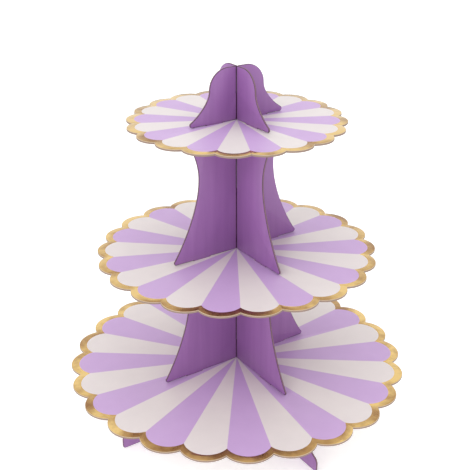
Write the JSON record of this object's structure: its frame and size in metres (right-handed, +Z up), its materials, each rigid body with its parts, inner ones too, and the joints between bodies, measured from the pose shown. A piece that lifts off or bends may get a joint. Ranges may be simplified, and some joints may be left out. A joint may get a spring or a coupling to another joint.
{
  "type": "tiered cake stand",
  "caption": "Tiered cake stand of scalloped printed card discs, held apart by crosses of slotted cards that lock through slits in the discs.",
  "frame": {"origin": "on the table under the stand's axis, at the centre of the bounding box's bottom face", "axes": "+Z up along the stand's axis; the under cards lie along X and the over cards along Y"},
  "size_m": [0.3008, 0.3008, 0.3223],
  "materials": {
    "purple_card": "satin purple print on both faces, greyish mauve board at the cut edges",
    "printed_disc": "lilac and white petal print with a gold foil border, brownish grey board at the cut edge"
  },
  "bodies": {
    "base_under": {"base_card_under": "purple_card"},
    "base_over": {"base_card_over": "purple_card"},
    "bottom_tier": {"bottom_disc": "printed_disc"},
    "lower_column_under": {"lower_column_card_under": "purple_card"},
    "lower_column_over": {"lower_column_card_over": "purple_card"},
    "middle_tier": {"middle_disc": "printed_disc"},
    "upper_column_under": {"upper_column_card_under": "purple_card"},
    "upper_column_over": {"upper_column_card_over": "purple_card"},
    "top_tier": {"top_disc": "printed_disc"},
    "crest_under": {"crest_card_under": "purple_card"},
    "crest_over": {"crest_card_over": "purple_card"}
  },
  "joints": [
    {"name": "base_over_lift", "type": "slide", "parent": "base_under", "child": "base_over", "axis": [0, 0, 1], "range_m": [0, 0.03]},
    {"name": "bottom_disc_lift", "type": "slide", "parent": "base_over", "child": "bottom_tier", "axis": [0, 0, 1], "range_m": [0, 0.012]},
    {"name": "lower_column_lift", "type": "slide", "parent": "bottom_tier", "child": "lower_column_under", "axis": [0, 0, 1], "range_m": [0, 0.014]},
    {"name": "lower_column_over_lift", "type": "slide", "parent": "lower_column_under", "child": "lower_column_over", "axis": [0, 0, 1], "range_m": [0, 0.094]},
    {"name": "middle_disc_lift", "type": "slide", "parent": "lower_column_over", "child": "middle_tier", "axis": [0, 0, 1], "range_m": [0, 0.012]},
    {"name": "upper_column_lift", "type": "slide", "parent": "middle_tier", "child": "upper_column_under", "axis": [0, 0, 1], "range_m": [0, 0.014]},
    {"name": "upper_column_over_lift", "type": "slide", "parent": "upper_column_under", "child": "upper_column_over", "axis": [0, 0, 1], "range_m": [0, 0.062]},
    {"name": "top_disc_lift", "type": "slide", "parent": "upper_column_over", "child": "top_tier", "axis": [0, 0, 1], "range_m": [0, 0.012]},
    {"name": "crest_lift", "type": "slide", "parent": "top_tier", "child": "crest_under", "axis": [0, 0, 1], "range_m": [0, 0.014]},
    {"name": "crest_over_lift", "type": "slide", "parent": "crest_under", "child": "crest_over", "axis": [0, 0, 1], "range_m": [0, 0.027]}
  ]
}
